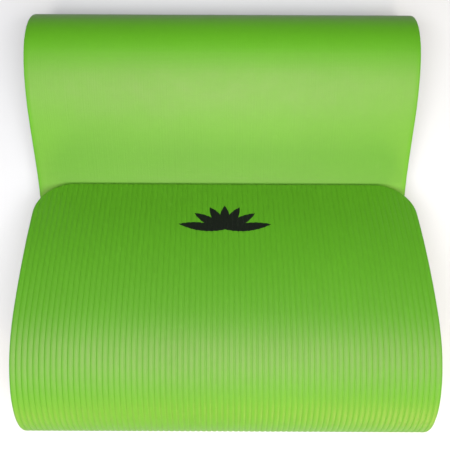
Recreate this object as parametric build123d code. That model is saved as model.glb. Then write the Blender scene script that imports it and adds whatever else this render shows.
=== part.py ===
from build123d import *
import os
from math import cos, pi, radians, sin

# Exercise mat of soft closed-cell foam, lying in a loose S-shaped fold on the floor.
# +X is across the mat, +Y runs from the front fold to the rear fold, +Z is up.
# The origin is on the floor, below the middle of the folded mat's bounding box.
# The mat lies in three layers.  The tail is flat on the floor and points at +Y.  The rear
# fold turns it up and back, the middle layer slopes down and lands on the tail, and the
# front fold turns it up and over again.  The last stretch, the flap, slopes down to the
# free edge, which stops just above the middle layer.

# Driving dimensions of the mat laid out flat
MAT_LENGTH = 1830.0
MAT_WIDTH = 610.0
THICKNESS = 10.0
CORNER_RADIUS = 60.0

# The folds, walked from the tail to the flap: each bend is (centre-line radius, degrees turned)
REAR_FOLD = [(40.0, 105.0), (71.0, 55.0), (90.0, 20.0), (158.0, 12.0), (273.0, 14.3)]
LANDING = [(500.0, 6.0), (300.0, 20.3)]
FRONT_FOLD = [(73.0, 100.0), (85.0, 40.0), (118.0, 26.0), (163.0, 28.0), (204.0, 10.0), (740.0, 12.4)]
MIDDLE_RUN = 199.0      # straight stretch of the middle layer that lies on the tail
FLAP_END_RUN = 65.0     # straight stretch at the flap's free edge
LAYER_GAP = 0.5         # air left between the middle layer and the tail

# Printed mark on the flap: a plain spread flower in black ink.  Each petal is
# (degrees from upright, length), and every petal has the same width.
INK_THICKNESS = 0.2
MARK_FROM_EDGE = 46.0   # from the free edge to the nearest point of the mark
PETALS = [(0.0, 46.0), (29.0, 49.0), (57.0, 57.0), (82.0, 73.0)]
PETAL_WIDTH = 15.0

HALF = THICKNESS / 2


def bends(fold, side):
    """Legs of a fold; side is 1 for a turn to the left and -1 for a turn to the right."""
    return [(radius * radians(turn), side * turn) for radius, turn in fold]


def walk(legs, point, heading):
    """Follow legs of (length, turn); give each as (start point, heading, length, turn) and the end."""
    stations = []
    for length, turn in legs:
        stations.append((point, heading, length, turn))
        if turn == 0:
            step = Vector(length, 0)
        else:
            radius = length / radians(turn)
            step = Vector(radius * sin(radians(turn)), radius * (1 - cos(radians(turn))))
        point = point + step.rotate(Axis.Z, heading)
        heading = heading + turn
    return stations, point, heading


def centre_line():
    """The whole mat's centre line, with the slope and the tail as long as the folds need."""
    rear = bends(REAR_FOLD, 1)
    landing = bends(LANDING, -1)
    front = bends(FRONT_FOLD, -1)
    slope_heading = sum(turn for _, turn in rear)
    rear_top = walk(rear, Vector(0, HALF), 0)[1].Y
    landing_drop = -walk(landing, Vector(0, 0), slope_heading)[1].Y
    middle_height = THICKNESS + LAYER_GAP + HALF
    slope_run = (rear_top - landing_drop - middle_height) / -sin(radians(slope_heading))
    folded = rear + [(slope_run, 0)] + landing + [(MIDDLE_RUN, 0)] + front + [(FLAP_END_RUN, 0)]
    tail_run = MAT_LENGTH - sum(length for length, _ in folded)
    return walk([(tail_run, 0)] + folded, Vector(0, HALF), 0)[0]


def side_edge(station, offset):
    """The edge that runs beside one leg, offset to its left."""
    point, heading, length, turn = station
    along = Vector(1, 0).rotate(Axis.Z, heading)
    left = Vector(0, 1).rotate(Axis.Z, heading)
    if turn == 0:
        return Line(point + left * offset, point + left * offset + along * length)
    radius = length / radians(turn)
    centre = point + left * radius
    start_angle = heading - 90 if turn > 0 else heading + 90
    return CenterArc(centre, abs(radius - offset), start_angle, turn)


def layer(stations, inner, outer):
    """A sheet between two offsets from the centre line, as wide as the mat."""
    inner_edges = [side_edge(station, inner) for station in stations]
    outer_edges = [side_edge(station, outer) for station in stations]
    start_cap = Line(inner_edges[0] @ 0, outer_edges[0] @ 0)
    end_cap = Line(inner_edges[-1] @ 1, outer_edges[-1] @ 1)
    outline = Wire(inner_edges + [end_cap] + outer_edges + [start_cap])
    return extrude(Plane.YZ * Face(outline), MAT_WIDTH / 2, both=True)


def foam_mat(stations):
    """The foam slab, with its four corners rounded in plan."""
    slab = layer(stations, -HALF, HALF)
    corner_edges = slab.edges().filter_by(lambda edge: abs(edge.length - THICKNESS) < 0.01)
    return fillet(corner_edges, CORNER_RADIUS)


def petal(angle, length):
    """One almond-shaped petal that leaves the flower's foot at an angle from upright."""
    tip = Vector(0, length)
    right = ThreePointArc((0, 0), (PETAL_WIDTH / 2, length / 2), tip)
    left = ThreePointArc(tip, (-PETAL_WIDTH / 2, length / 2), (0, 0))
    return Rot(0, 0, angle) * Face(Wire([right, left]))


def printed_mark(stations):
    """The ink, a thin skin on the ribbed face of the flap, cut to the flower's outline."""
    ink = layer(stations[-3:], HALF, HALF + INK_THICKNESS)
    point, heading, length, _ = stations[-1]
    along = Vector(0, cos(radians(heading)), sin(radians(heading)))
    edge_middle = Vector(0, point.X, point.Y) + along * length
    foot = edge_middle - along * (MARK_FROM_EDGE + PETALS[0][1])
    normal = Vector(0, -along.Z, along.Y)
    print_plane = Plane(origin=foot, x_dir=(1, 0, 0), z_dir=normal)
    right_half = [petal(-angle, size) for angle, size in PETALS]
    left_half = [petal(angle, size) for angle, size in PETALS[1:]]
    flower = [print_plane * shape for shape in right_half + left_half]
    cutter = Part() + [extrude(face, THICKNESS * 2, both=True) for face in flower]
    return ink & cutter


def main():
    stations = centre_line()
    mat = foam_mat(stations)
    mark = printed_mark(stations)
    middle = mat.bounding_box().center()
    placed = Pos(0, -middle.Y, 0)
    os.makedirs("parts", exist_ok=True)
    export_step(placed * mat, "parts/foam_mat.step")
    export_step(placed * mark, "parts/printed_mark.step")


main()
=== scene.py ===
from math import cos, pi, radians, sin, sqrt

import bmesh
import bpy
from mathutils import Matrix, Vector


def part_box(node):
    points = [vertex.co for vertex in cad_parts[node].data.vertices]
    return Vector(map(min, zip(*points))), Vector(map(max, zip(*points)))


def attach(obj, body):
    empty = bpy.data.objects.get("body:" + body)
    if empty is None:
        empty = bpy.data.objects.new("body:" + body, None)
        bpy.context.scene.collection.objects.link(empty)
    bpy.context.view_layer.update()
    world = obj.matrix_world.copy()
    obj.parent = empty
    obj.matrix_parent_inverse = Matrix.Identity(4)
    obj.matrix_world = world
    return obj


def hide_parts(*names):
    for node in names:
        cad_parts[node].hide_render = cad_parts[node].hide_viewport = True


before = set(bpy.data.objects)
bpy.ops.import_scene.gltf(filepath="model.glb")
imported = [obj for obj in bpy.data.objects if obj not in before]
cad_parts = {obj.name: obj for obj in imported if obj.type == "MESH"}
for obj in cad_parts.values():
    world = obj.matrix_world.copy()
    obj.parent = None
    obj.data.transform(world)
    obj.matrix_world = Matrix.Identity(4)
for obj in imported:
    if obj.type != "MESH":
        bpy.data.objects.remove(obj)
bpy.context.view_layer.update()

# A soft foam exercise mat in a loose S-shaped fold.  Everything is in metres, in the CAD frame.
# The mat is swept along the same chain of arcs as the CAD solid, which it replaces.  The
# CAD faces are the tops of the ribs, and the grooves are cut below them.

# The mat laid out flat
MAT_LENGTH = 1.830
MAT_WIDTH = 0.610
THICKNESS = 0.010
CORNER_RADIUS = 0.060
HALF_THICKNESS = THICKNESS / 2
HALF_WIDTH = MAT_WIDTH / 2

# The folds, walked from the tail to the flap: each bend is (centre-line radius, degrees turned)
REAR_FOLD = [(0.040, 105.0), (0.071, 55.0), (0.090, 20.0), (0.158, 12.0), (0.273, 14.3)]
LANDING = [(0.500, 6.0), (0.300, 20.3)]
FRONT_FOLD = [(0.073, 100.0), (0.085, 40.0), (0.118, 26.0), (0.163, 28.0), (0.204, 10.0),
              (0.740, 12.4)]
MIDDLE_RUN = 0.199
FLAP_END_RUN = 0.065
LAYER_GAP = 0.0005

# The folds don't lie quite square: the mat wanders sideways in a slow wave along its length
DRIFT = 0.0038             # how far it swings each way
DRIFT_MEAN = 0.0012        # how far it lies to +X on average
DRIFT_PEAK = 1.50          # a distance along the mat where it lies furthest to +X
DRIFT_WAVE = 1.40          # the length of one wave

# Ribs along the mat on one face
RIB_COUNT = 75
RIB_PITCH = MAT_WIDTH / RIB_COUNT
RIB_DEPTH = 0.0011
RIB_POWER = 4                                      # a higher power gives flatter ribs
RIB_COLUMNS = [0.0, 0.1, 0.25, 0.5, 0.75, 0.9]     # places across one rib, from groove to groove
EDGE_ROUND = 0.0012                                # softened edge where the mat was die-cut
EDGE_STEPS = [0.0, 0.25, 1.0]                      # places across that edge, in parts of its radius

# How finely the sweep is divided along the mat, and how near two points are joined
ROW_LENGTH = 0.022
ROW_TURN = 5.0
CORNER_ROWS = 16
JOIN_DISTANCE = 1e-6

# Printed mark: a plain spread flower, each petal as (degrees from upright, length)
MARK_FROM_EDGE = 0.046
PETALS = [(0.0, 0.046), (29.0, 0.049), (57.0, 0.057), (82.0, 0.073)]
PETAL_WIDTH = 0.015
PETAL_ROWS = 48
PETAL_COLUMNS = 10
INK_LIFT = 0.00015
LIFT_STEP = 0.1            # each petal lies above the one before it by this part of INK_LIFT

# The foam's colours (the groove colour is painted shade, a slightly darker copy of the rib colour), and
# the tint of the soft haze on its skin
FOAM_RIB = (0.0570, 0.243, 0.0034, 1.0)
# painted shade: a slightly darker green for the bottoms of the rib grooves
FOAM_GROOVE_SHADE = (0.0550, 0.235, 0.0032, 1.0)
FOAM_SMOOTH = (0.0680, 0.275, 0.0040, 1.0)
FOAM_WORN = (0.105, 0.330, 0.025, 1.0)
FOAM_GLOSS = (1.0, 0.06, 0.70, 1.0)
SCUFF_LEVEL = 0.66         # scuffs show where the noise is above this
SCUFF_STRENGTH = 0.12
INK_BLACK = (0.006, 0.008, 0.006, 1.0)
INK_THIN = (0.03, 0.09, 0.012, 1.0)
THIN_LEVEL = 0.70          # the ink is thin where the noise is above this
THIN_STRENGTH = 0.35
FLOOR_GREY = (0.54, 0.54, 0.56, 1.0)
FLOOR_REACH = 6.0

# The camera looks straight down on the mat; lens and sensor are in millimetres, roll in degrees
CAMERA_HEIGHT = 0.974
CAMERA_PLACE = (0.003, -0.012)
CAMERA_LENS = 44.9
CAMERA_SENSOR = 36.0
CAMERA_ROLL = 0.25

# Studio lights: name, place, (width, height), watts and colour; each one is aimed at the mat.
# The top lights give the pale band along each hump.  The low ones throw the front fold's soft
# shadow on the slope behind it, the skimming ones warm the foot of the front, and the side one
# brings out the ribs.
WARM = (1.0, 0.88, 0.50)
AMBER = (1.0, 0.66, 0.34)
WHITE = (1.0, 1.0, 1.0)
LIGHTS = [
    ("front_top", (0.0, -0.70, 1.75), (2.0, 0.7), 43.5, WHITE),
    ("rear_top", (0.0, 0.0, 1.35), (1.8, 0.3), 18.5, WHITE),
    ("low_left", (-0.60, -1.80, 0.78), (0.3, 0.2), 5.5, WARM),
    ("low_right", (0.60, -1.80, 0.78), (0.3, 0.2), 10.0, WARM),
    ("skim_left", (-0.80, -1.60, 0.23), (0.5, 0.2), 7.0, AMBER),
    ("skim_right", (0.80, -1.60, 0.23), (0.5, 0.2), 10.0, AMBER),
    ("side_right", (1.70, -0.30, 1.05), (0.8, 0.8), 8.0, WARM),
]
LIGHT_AIM = Vector((0.0, 0.0, 0.05))
WORLD_LIGHT = 0.12


# ---------------------------------------------------------------- the path of the folded mat

def bends(fold, side):
    """Legs of a fold; side is 1 for a turn to the left and -1 for a turn to the right."""
    return [(radius * radians(turn), side * radians(turn)) for radius, turn in fold]


def step_along(point, heading, length, turn):
    """Where a walk along one leg ends, as (y, z, heading)."""
    y, z = point
    if turn == 0:
        return y + length * cos(heading), z + length * sin(heading), heading
    radius = length / turn
    y += radius * (sin(heading + turn) - sin(heading))
    z -= radius * (cos(heading + turn) - cos(heading))
    return y, z, heading + turn


def walk(legs, point, heading):
    """Follow legs of (length, turn); give each leg's start as (distance, y, z, heading), and the
    point where the last one ends."""
    distance = 0.0
    starts = []
    for length, turn in legs:
        starts.append((distance, point[0], point[1], heading))
        y, z, heading = step_along(point, heading, length, turn)
        point = (y, z)
        distance += length
    return starts, point


def mat_legs():
    """All legs of the mat, with the slope and the tail as long as the folds need."""
    rear = bends(REAR_FOLD, 1)
    landing = bends(LANDING, -1)
    front = bends(FRONT_FOLD, -1)
    slope_heading = sum(turn for _, turn in rear)
    rear_top = walk(rear, (0.0, HALF_THICKNESS), 0.0)[1][1]
    landing_drop = -walk(landing, (0.0, 0.0), slope_heading)[1][1]
    middle_height = THICKNESS + LAYER_GAP + HALF_THICKNESS
    slope_run = (rear_top - landing_drop - middle_height) / -sin(slope_heading)
    folded = rear + [(slope_run, 0)] + landing + [(MIDDLE_RUN, 0)] + front + [(FLAP_END_RUN, 0)]
    tail_run = MAT_LENGTH - sum(length for length, _ in folded)
    return [(tail_run, 0)] + folded


LEGS = mat_legs()
STARTS = walk(LEGS, (0.0, HALF_THICKNESS), 0.0)[0]


def centre_at(distance):
    """The centre line at a distance from the tail's end, as (y, z, heading)."""
    for (length, turn), (start, y, z, heading) in zip(LEGS, STARTS):
        if distance <= start + length:
            break
    part = (distance - start) / length
    return step_along((y, z), heading, length * part, turn * part)


def row_distances():
    """Distances along the mat at which the sweep has a row, closer together where it bends."""
    rows = set()
    for (length, turn), (start, _, _, _) in zip(LEGS, STARTS):
        steps = max(1, round(length / ROW_LENGTH), round(abs(turn) / radians(ROW_TURN)))
        rows.update(start + length * step / steps for step in range(steps))
    quarter = [pi / 2 * step / CORNER_ROWS for step in range(CORNER_ROWS + 1)]
    corner = [CORNER_RADIUS * (1 - cos(angle)) for angle in quarter]
    rim = [EDGE_ROUND * part for part in EDGE_STEPS]
    near_end = [inset for inset in corner if inset > EDGE_ROUND] + rim
    middle = [row for row in rows if CORNER_RADIUS < row < MAT_LENGTH - CORNER_RADIUS]
    return sorted(near_end + middle + [MAT_LENGTH - inset for inset in near_end])


def rear_reach():
    """How far the rear fold reaches when the tail's end is at y = 0."""
    centres = [centre_at(distance) for distance in row_distances()]
    return max(y + HALF_THICKNESS * sin(heading) for y, _, heading in centres)


SHIFT_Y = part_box("foam_mat")[1][1] - rear_reach()


def place(x, distance, offset):
    """A point of the folded mat: x across it, distance along it, offset above its centre line."""
    y, z, heading = centre_at(distance)
    x += DRIFT_MEAN + DRIFT * cos(2 * pi * (distance - DRIFT_PEAK) / DRIFT_WAVE)
    return Vector((x, y + SHIFT_Y - offset * sin(heading), z + offset * cos(heading)))


# ---------------------------------------------------------------- the mat's own shape, laid out flat

def held_within(x, limit):
    return max(-limit, min(limit, x))


def half_width_at(distance):
    """Half the mat's width, which the rounded corners narrow near each end."""
    inset = min(distance, MAT_LENGTH - distance)
    if inset >= CORNER_RADIUS:
        return HALF_WIDTH
    return HALF_WIDTH - CORNER_RADIUS + sqrt(CORNER_RADIUS ** 2 - (CORNER_RADIUS - inset) ** 2)


def rib_depth(x):
    """How far the ribbed face lies below the tops of its ribs: round ribs, narrow grooves."""
    from_crest = abs((x + HALF_WIDTH) / RIB_PITCH % 1.0 - 0.5) * 2
    return RIB_DEPTH * from_crest ** RIB_POWER


def edge_drop(inset):
    """How far a face falls away at a given distance in from the mat's cut edge."""
    if inset >= EDGE_ROUND:
        return 0.0
    return EDGE_ROUND - sqrt(EDGE_ROUND ** 2 - (EDGE_ROUND - inset) ** 2)


def columns_across(distance, inner_columns):
    """Where a row has its points, from -X to +X: both softened edges, and columns between them."""
    border = half_width_at(distance)
    rim = [border - EDGE_ROUND * part for part in EDGE_STEPS]
    return [-x for x in rim] + [held_within(x, rim[-1]) for x in inner_columns] + rim[::-1]


def face_row(distance, columns, ribbed):
    """Flat points (x, distance, offset) of one face across the mat, from -X to +X."""
    border = half_width_at(distance)
    end_drop = edge_drop(min(distance, MAT_LENGTH - distance))
    points = []
    for x in columns:
        x = held_within(x, border)
        drop = max(end_drop, edge_drop(border - abs(x)))
        if ribbed:
            points.append((x, distance, HALF_THICKNESS - max(drop, rib_depth(x))))
        else:
            points.append((x, distance, drop - HALF_THICKNESS))
    return points


def rows_of_mat():
    """Closed loops of flat points round the mat, one for each row along it, with the ribbed face
    first, and how many points that face has in each."""
    ribs = [-HALF_WIDTH + RIB_PITCH * (rib + part) for rib in range(RIB_COUNT) for part in RIB_COLUMNS]
    plain = [-HALF_WIDTH + RIB_PITCH * rib for rib in range(RIB_COUNT)]
    loops = []
    for distance in row_distances():
        top = face_row(distance, columns_across(distance, ribs[1:]), ribbed=True)
        bottom = face_row(distance, columns_across(distance, plain[1:]), ribbed=False)
        loops.append(top + bottom[::-1])
    return loops, len(top)


def mat_mesh():
    """The whole mat as one closed mesh, with the flat place of each point as its UV map."""
    loops, top_size = rows_of_mat()
    size = len(loops[0])
    flat = [point for loop in loops for point in loop]
    faces = []
    for row in range(len(loops) - 1):
        for k in range(size):
            a = row * size + k
            b = row * size + (k + 1) % size
            faces.append((a, b, b + size, a + size))
    last = (len(loops) - 1) * size
    faces.append(tuple(range(size))[::-1])
    faces.append(tuple(range(last, last + size)))
    mesh = bpy.data.meshes.new("foam_mat_slab")
    mesh.from_pydata([place(*point) for point in flat], [], faces)
    uv = mesh.uv_layers.new(name="flat")
    for corner in mesh.loops:
        x, distance, _ = flat[corner.vertex_index]
        uv.data[corner.index].uv = (x + HALF_WIDTH, distance)
    give_foams(mesh, size, top_size)
    merge_clamped_points(mesh)
    return mesh


def give_foams(mesh, size, top_size):
    """Ribbed, smooth or cut foam for each face; the last two faces are the mat's cut ends."""
    for material in (ribbed_foam(), smooth_foam(), cut_foam()):
        mesh.materials.append(material)
    for face in mesh.polygons:
        face.use_smooth = True
        k = face.index % size
        if face.index >= len(mesh.polygons) - 2 or k in (top_size - 1, size - 1):
            face.material_index = 2
        elif k >= top_size:
            face.material_index = 1


def merge_clamped_points(mesh):
    """Joins the points that the rounded corners have pushed together."""
    shape = bmesh.new()
    shape.from_mesh(mesh)
    bmesh.ops.remove_doubles(shape, verts=shape.verts, dist=JOIN_DISTANCE)
    bmesh.ops.dissolve_degenerate(shape, edges=shape.edges, dist=JOIN_DISTANCE)
    shape.to_mesh(mesh)
    shape.free()


# ---------------------------------------------------------------- node helpers

class Nodes:
    """Builds one material's node tree; each method adds a node and returns its output."""

    def __init__(self, name):
        self.material = bpy.data.materials.new(name)
        self.material.use_nodes = True
        self.tree = self.material.node_tree
        self.shader = self.tree.nodes["Principled BSDF"]

    def put(self, socket, value):
        if isinstance(value, bpy.types.NodeSocket):
            self.tree.links.new(value, socket)
        else:
            socket.default_value = value

    def shade(self, **values):
        """Sets the shader's inputs; a name's underscores stand for spaces."""
        for name, value in values.items():
            self.put(self.shader.inputs[name.replace("_", " ")], value)

    def math(self, operation, a, b=0.0):
        node = self.tree.nodes.new("ShaderNodeMath")
        node.operation = operation
        self.put(node.inputs[0], a)
        self.put(node.inputs[1], b)
        return node.outputs[0]

    def flat_place(self):
        """The point's place on the mat laid out flat."""
        node = self.tree.nodes.new("ShaderNodeUVMap")
        node.uv_map = "flat"
        return node.outputs["UV"]

    def object_place(self):
        return self.tree.nodes.new("ShaderNodeTexCoord").outputs["Object"]

    def x_of(self, vector):
        node = self.tree.nodes.new("ShaderNodeSeparateXYZ")
        self.put(node.inputs[0], vector)
        return node.outputs["X"]

    def stretch(self, vector, scale):
        node = self.tree.nodes.new("ShaderNodeVectorMath")
        node.operation = "MULTIPLY"
        self.put(node.inputs[0], vector)
        self.put(node.inputs[1], scale)
        return node.outputs[0]

    def noise(self, vector, scale, detail=2.0, rough=0.5):
        node = self.tree.nodes.new("ShaderNodeTexNoise")
        self.put(node.inputs["Vector"], vector)
        self.put(node.inputs["Scale"], scale)
        self.put(node.inputs["Detail"], detail)
        self.put(node.inputs["Roughness"], rough)
        return node.outputs["Fac"]

    def cells(self, vector, scale):
        node = self.tree.nodes.new("ShaderNodeTexVoronoi")
        self.put(node.inputs["Vector"], vector)
        self.put(node.inputs["Scale"], scale)
        return node.outputs["Distance"]

    def spread(self, value, low, high):
        """Maps 0..1 to low..high."""
        node = self.tree.nodes.new("ShaderNodeMapRange")
        self.put(node.inputs["Value"], value)
        self.put(node.inputs["To Min"], low)
        self.put(node.inputs["To Max"], high)
        return node.outputs[0]

    def mix(self, factor, first, second):
        """Blends two colours, through the Mix node's colour sockets."""
        node = self.tree.nodes.new("ShaderNodeMix")
        node.data_type = "RGBA"
        self.put(node.inputs["Factor"], factor)
        self.put(node.inputs[6], first)
        self.put(node.inputs[7], second)
        return node.outputs[2]

    def scale_colour(self, colour, factor):
        node = self.tree.nodes.new("ShaderNodeVectorMath")
        node.operation = "SCALE"
        self.put(node.inputs[0], colour)
        self.put(node.inputs["Scale"], factor)
        return node.outputs[0]

    def bump(self, height, distance, strength, normal=None):
        node = self.tree.nodes.new("ShaderNodeBump")
        self.put(node.inputs["Height"], height)
        self.put(node.inputs["Distance"], distance)
        self.put(node.inputs["Strength"], strength)
        if normal is not None:
            self.put(node.inputs["Normal"], normal)
        return node.outputs[0]


# ---------------------------------------------------------------- materials

def foam_skin(nodes, point, colour):
    """What both moulded faces share: slow colour drift, fine mottling and a few pale scuffs."""
    drift = nodes.spread(nodes.noise(point, scale=5.0), 0.93, 1.07)
    mottle = nodes.spread(nodes.noise(point, scale=110.0, detail=6.0, rough=0.75), 0.94, 1.06)
    streaks = nodes.noise(nodes.stretch(point, (14.0, 5.0, 14.0)), scale=3.0, detail=6.0, rough=0.7)
    scuffs = nodes.math("GREATER_THAN", streaks, SCUFF_LEVEL)
    scuffed = nodes.mix(nodes.math("MULTIPLY", scuffs, SCUFF_STRENGTH), colour, FOAM_WORN)
    tint = nodes.scale_colour(scuffed, nodes.math("MULTIPLY", drift, mottle))
    roughness = nodes.spread(nodes.noise(point, scale=40.0, detail=4.0, rough=0.6), 0.49, 0.59)
    nodes.shade(Base_Color=tint, Roughness=roughness)
    nodes.shade(Specular_IOR_Level=0.62, Specular_Tint=FOAM_GLOSS)


def ribbed_foam():
    """The ribbed face, with painted shade making it a little darker in its grooves, over a dimpled
    closed-cell skin.
    """
    nodes = Nodes("foam_ribbed_face")
    point = nodes.object_place()
    in_rib = nodes.math("FRACT", nodes.math("DIVIDE", nodes.x_of(nodes.flat_place()), RIB_PITCH))
    off_crest = nodes.math("ABSOLUTE", nodes.math("SUBTRACT", in_rib, 0.5))
    # painted shade: the colour darkens toward the bottom of each groove
    groove = nodes.math("POWER", nodes.math("MULTIPLY", off_crest, 2.0), 3.0)
    foam_skin(nodes, point, nodes.mix(groove, FOAM_RIB, FOAM_GROOVE_SHADE))
    dimples = nodes.bump(nodes.cells(point, scale=1100.0), distance=0.0002, strength=0.25)
    skin = nodes.noise(point, scale=260.0, detail=4.0, rough=0.6)
    nodes.shade(Normal=nodes.bump(skin, distance=0.0003, strength=0.35, normal=dimples))
    return nodes.material


def smooth_foam():
    """The near-smooth face, with fine lines along the mat and fainter ones across it."""
    nodes = Nodes("foam_smooth_face")
    flat = nodes.flat_place()
    point = nodes.object_place()
    foam_skin(nodes, point, FOAM_SMOOTH)
    along = nodes.noise(nodes.stretch(flat, (420.0, 6.0, 1.0)), scale=1.0)
    across = nodes.noise(nodes.stretch(flat, (12.0, 300.0, 1.0)), scale=1.0)
    lines = nodes.math("ADD", along, nodes.math("MULTIPLY", across, 0.5))
    weave = nodes.bump(lines, distance=0.0003, strength=0.5)
    dimples = nodes.cells(point, scale=1100.0)
    nodes.shade(Normal=nodes.bump(dimples, distance=0.0002, strength=0.2, normal=weave))
    return nodes.material


def cut_foam():
    """The die-cut edge, with open cells and faint marks of the knife."""
    nodes = Nodes("foam_cut_edge")
    point = nodes.object_place()
    open_cells = nodes.cells(point, scale=1300.0)
    colour = nodes.mix(nodes.spread(open_cells, 0.0, 0.8), FOAM_WORN, FOAM_SMOOTH)
    drift = nodes.spread(nodes.noise(point, scale=30.0, detail=3.0), 0.90, 1.08)
    roughness = nodes.spread(nodes.noise(point, scale=120.0, detail=3.0), 0.68, 0.82)
    nodes.shade(Base_Color=nodes.scale_colour(colour, drift), Roughness=roughness)
    knife_marks = nodes.noise(nodes.stretch(point, (60.0, 60.0, 900.0)), scale=1.0)
    cut = nodes.bump(knife_marks, distance=0.0002, strength=0.3)
    nodes.shade(Normal=nodes.bump(open_cells, distance=0.0004, strength=0.5, normal=cut))
    nodes.shade(Specular_IOR_Level=0.3)
    return nodes.material


def black_ink():
    """Printed ink, worn thin in specks so that a little green shows."""
    nodes = Nodes("black_print_ink")
    point = nodes.object_place()
    speckle = nodes.noise(point, scale=420.0, detail=4.0, rough=0.7)
    thin = nodes.math("GREATER_THAN", speckle, THIN_LEVEL)
    colour = nodes.mix(nodes.math("MULTIPLY", thin, THIN_STRENGTH), INK_BLACK, INK_THIN)
    roughness = nodes.spread(nodes.noise(point, scale=150.0, detail=3.0), 0.42, 0.60)
    nodes.shade(Base_Color=colour, Roughness=roughness, Specular_IOR_Level=0.12)
    film = nodes.noise(point, scale=900.0, detail=3.0)
    nodes.shade(Normal=nodes.bump(film, distance=0.0001, strength=0.4))
    return nodes.material


def pale_floor():
    nodes = Nodes("studio_floor")
    nodes.shade(Base_Color=FLOOR_GREY, Roughness=0.9, Specular_IOR_Level=0.1)
    return nodes.material


# ---------------------------------------------------------------- pieces

def new_piece(name, mesh):
    piece = bpy.data.objects.new(name, mesh)
    bpy.context.scene.collection.objects.link(piece)
    return piece


def build_mat():
    piece = new_piece("foam_mat_visual", mat_mesh())
    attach(piece, "root")
    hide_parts("foam_mat")


def petal_points(angle, length, lift):
    """A grid of points over one petal, a lens between two arcs, on the ribs and raised by lift."""
    foot = MAT_LENGTH - MARK_FROM_EDGE - PETALS[0][1]
    arc_radius = (length ** 2 / 4 + PETAL_WIDTH ** 2 / 4) / PETAL_WIDTH
    turn = radians(angle)
    rows = []
    for row in range(PETAL_ROWS + 1):
        out = length * row / PETAL_ROWS
        arc = sqrt(max(0.0, arc_radius ** 2 - (out - length / 2) ** 2))
        half = arc - arc_radius + PETAL_WIDTH / 2
        points = []
        for column in range(PETAL_COLUMNS + 1):
            side = half * (2 * column / PETAL_COLUMNS - 1)
            x = side * cos(turn) + out * sin(turn)
            up = out * cos(turn) - side * sin(turn)
            points.append(place(x, foot + up, HALF_THICKNESS - rib_depth(x) + lift))
        rows.append(points)
    return rows


def rim_of(grid):
    """The points round the outside of a grid, in order."""
    near_side = [row[0] for row in grid]
    far_side = [row[-1] for row in grid[-2::-1]]
    return near_side + grid[-1][1:] + far_side + grid[0][-2:0:-1]


def add_petal(shape, angle, length, lift):
    """One petal of ink as a closed skin: an upper and a lower grid joined round the rim."""
    rims = []
    for level in (lift, 0.0):
        grid = [[shape.verts.new(point) for point in row] for row in petal_points(angle, length, level)]
        for low, high in zip(grid, grid[1:]):
            for column in range(PETAL_COLUMNS):
                corners = [low[column], low[column + 1], high[column + 1], high[column]]
                shape.faces.new(corners if level else corners[::-1])
        rims.append(rim_of(grid))
    upper, lower = rims
    for k, point in enumerate(lower):
        after = (k + 1) % len(lower)
        shape.faces.new([point, lower[after], upper[after], upper[k]])


def build_mark():
    shape = bmesh.new()
    petals = PETALS + [(-angle, length) for angle, length in PETALS[1:]]
    for number, (angle, length) in enumerate(petals):
        add_petal(shape, angle, length, INK_LIFT * (1 + LIFT_STEP * number))
    bmesh.ops.remove_doubles(shape, verts=shape.verts, dist=JOIN_DISTANCE)
    bmesh.ops.recalc_face_normals(shape, faces=shape.faces)
    mesh = bpy.data.meshes.new("printed_mark_skin")
    shape.to_mesh(mesh)
    shape.free()
    mesh.materials.append(black_ink())
    piece = new_piece("printed_mark_visual", mesh)
    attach(piece, "root")
    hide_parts("printed_mark")


# ---------------------------------------------------------------- stage

def build_floor():
    reach = FLOOR_REACH
    corners = [(-reach, -reach, 0), (reach, -reach, 0), (reach, reach, 0), (-reach, reach, 0)]
    mesh = bpy.data.meshes.new("floor_plane")
    mesh.from_pydata(corners, [], [(0, 1, 2, 3)])
    mesh.materials.append(pale_floor())
    floor = new_piece("studio_floor", mesh)


def soft_light(name, place_at, size, power, colour):
    light = bpy.data.lights.new(name, "AREA")
    light.shape = "RECTANGLE"
    light.size, light.size_y = size
    light.energy = power
    light.color = colour
    lamp = bpy.data.objects.new(name, light)
    lamp.location = place_at
    lamp.rotation_euler = (LIGHT_AIM - lamp.location).to_track_quat("-Z", "Y").to_euler()
    lamp.visible_camera = False
    bpy.context.scene.collection.objects.link(lamp)


def build_lights():
    for light in LIGHTS:
        soft_light(*light)
    world = bpy.data.worlds.new("studio_world")
    world.use_nodes = True
    background = world.node_tree.nodes["Background"]
    background.inputs["Color"].default_value = (1.0, 1.0, 1.0, 1.0)
    background.inputs["Strength"].default_value = WORLD_LIGHT
    bpy.context.scene.world = world
    bpy.context.scene.view_settings.view_transform = "Standard"


def build_camera():
    camera = bpy.data.cameras.new("camera")
    camera.lens = CAMERA_LENS
    camera.sensor_width = CAMERA_SENSOR
    eye = bpy.data.objects.new("camera", camera)
    eye.location = (*CAMERA_PLACE, CAMERA_HEIGHT)
    eye.rotation_euler = (0.0, 0.0, radians(CAMERA_ROLL))
    bpy.context.scene.collection.objects.link(eye)
    bpy.context.scene.camera = eye


build_mat()
build_mark()
build_floor()
build_lights()
build_camera()
